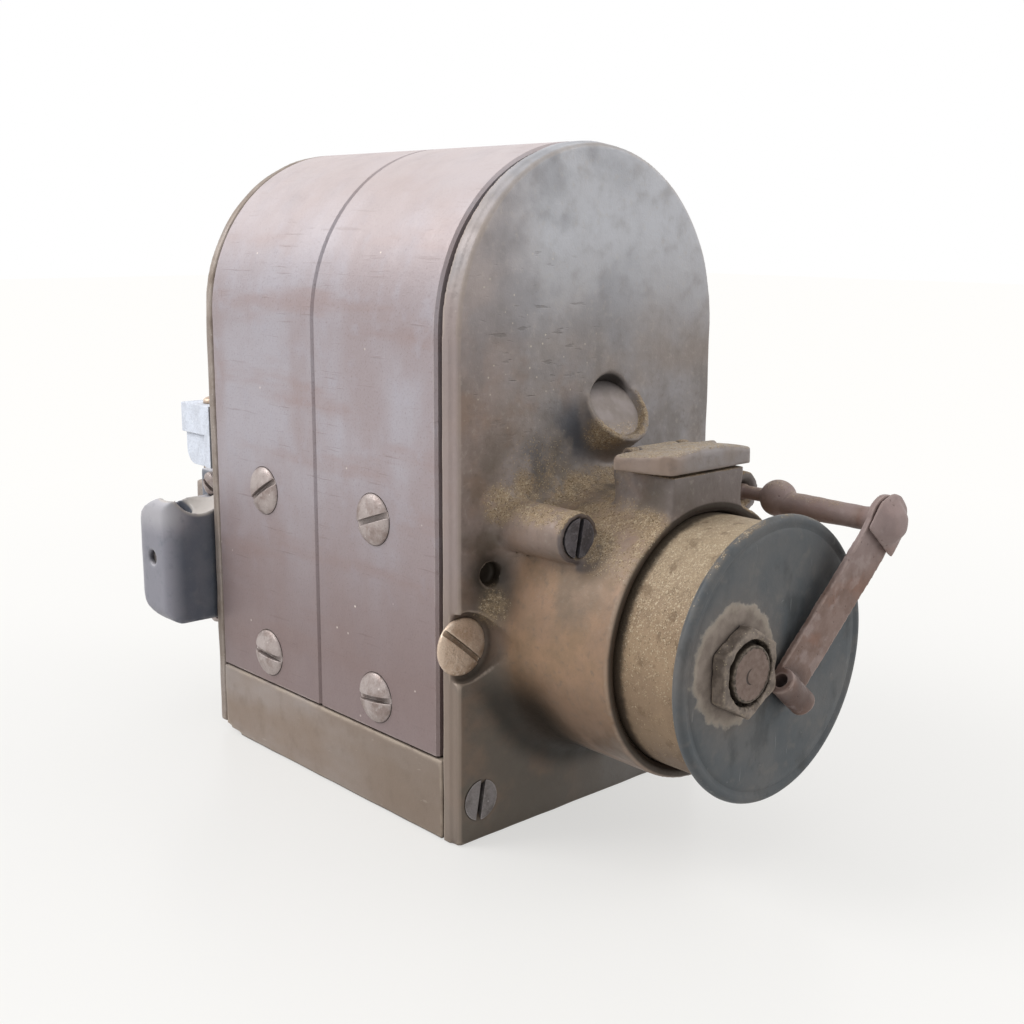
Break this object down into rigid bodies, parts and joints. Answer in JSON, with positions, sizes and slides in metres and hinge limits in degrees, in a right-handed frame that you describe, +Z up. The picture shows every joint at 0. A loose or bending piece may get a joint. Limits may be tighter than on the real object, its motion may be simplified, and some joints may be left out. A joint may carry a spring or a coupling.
{
  "type": "ignition magneto",
  "caption": "Engine ignition magneto with horseshoe magnets on a bronze base, domed end housings, contact breaker with clip-held cover, high tension pickup and tapered drive shaft.",
  "frame": {"origin": "centre of the flat base face", "axes": "+Y to the drive end along the shaft, +Z up, +X to the right seen from the contact breaker end"},
  "size_m": [0.0936, 0.2191, 0.1455],
  "materials": {
    "bronze": "weathered",
    "magnet_steel": "satin",
    "iron": "plain",
    "screw_steel": "worn",
    "dark_steel": "dull",
    "brassy_screw": "worn",
    "brass": "plain",
    "ring_brass": "dusty",
    "ebonite": "dull moulded",
    "clip_steel": "rusty",
    "race_steel": "polished",
    "alloy": "dull",
    "carbon": "plain",
    "copper": "varnished",
    "felt": "felt",
    "mica_pack": "wrapped"
  },
  "bodies": {
    "housing": {"base_casting": "bronze", "front_housing": "bronze", "rear_housing": "bronze", "front_magnet": "magnet_steel", "rear_magnet": "magnet_steel", "left_pole_shoe": "iron", "right_pole_shoe": "iron", "magnet_screws": "screw_steel", "pole_screws": "dark_steel", "rim_screws": "brassy_screw", "corner_screws": "dark_steel", "rear_screws": "screw_steel", "boss_screw": "screw_steel", "oil_plug": "alloy", "lid_pin": "dark_steel", "post_pin": "dark_steel", "front_outer_race": "race_steel", "rear_outer_race": "race_steel", "end_cover": "bronze", "end_cover_screws": "screw_steel", "felt_seal": "felt", "earth_brush": "carbon", "earth_spring": "brass", "pickup_body": "ebonite", "pickup_screws": "screw_steel", "pickup_brush": "carbon", "pickup_spring": "brass", "lead_screw": "clip_steel", "lead_bracket": "alloy", "bracket_screw": "brassy_screw"},
    "oil_lid": {"oil_lid": "bronze"},
    "timing": {"timing_ring": "ring_brass", "cam_segments": "race_steel", "breaker_cover": "ebonite", "terminal_nut": "brass", "terminal_stud": "brass", "terminal_strip": "brass"},
    "cover_clip": {"clip_post": "clip_steel", "clip_arm": "clip_steel", "clip_nut": "clip_steel"},
    "armature": {"armature_core": "iron", "winding": "copper", "front_cheek": "brass", "rear_cheek": "brass", "condenser": "mica_pack", "breaker_shaft": "race_steel", "drive_shaft": "race_steel", "drive_key": "dark_steel", "slip_ring": "ebonite", "slip_track": "brass", "front_inner_race": "race_steel", "rear_inner_race": "race_steel", "breaker_plate": "brass", "breaker_screw": "screw_steel", "fixed_contact": "brass", "arm_pivot": "dark_steel"},
    "ball_set": {"front_balls": "race_steel", "rear_balls": "race_steel"},
    "breaker_arm": {"breaker_arm": "brass"}
  },
  "joints": [
    {"name": "armature_spin", "type": "hinge", "parent": "housing", "child": "armature", "pos_m": [0, 0, 0.045], "axis": [0, 1, 0], "continuous": true},
    {"name": "ball_roll", "type": "hinge", "parent": "housing", "child": "ball_set", "pos_m": [0, 0, 0.045], "axis": [0, 1, 0], "continuous": true},
    {"name": "breaker_swing", "type": "hinge", "parent": "armature", "child": "breaker_arm", "pos_m": [-0.0105, -0.0888, 0.036], "axis": [0, -1, 0], "range_deg": [0, 3], "stiffness_Nm_per_rad": 0.1, "springref_deg": -11.46},
    {"name": "timing_turn", "type": "hinge", "parent": "housing", "child": "timing", "pos_m": [0, -0.088, 0.045], "axis": [0, 1, 0], "range_deg": [0, 25]},
    {"name": "clip_swing", "type": "hinge", "parent": "housing", "child": "cover_clip", "pos_m": [0.02655, -0.0808, 0.07091], "axis": [0, -1, 0], "range_deg": [0, 110]},
    {"name": "lid_open", "type": "hinge", "parent": "housing", "child": "oil_lid", "pos_m": [0, -0.0662, 0.0823], "axis": [-1, 0, 0], "range_deg": [0, 95]}
  ],
  "couplings": [
    {"joint": "ball_roll", "follows": "armature_spin", "ratio": 0.376}
  ]
}
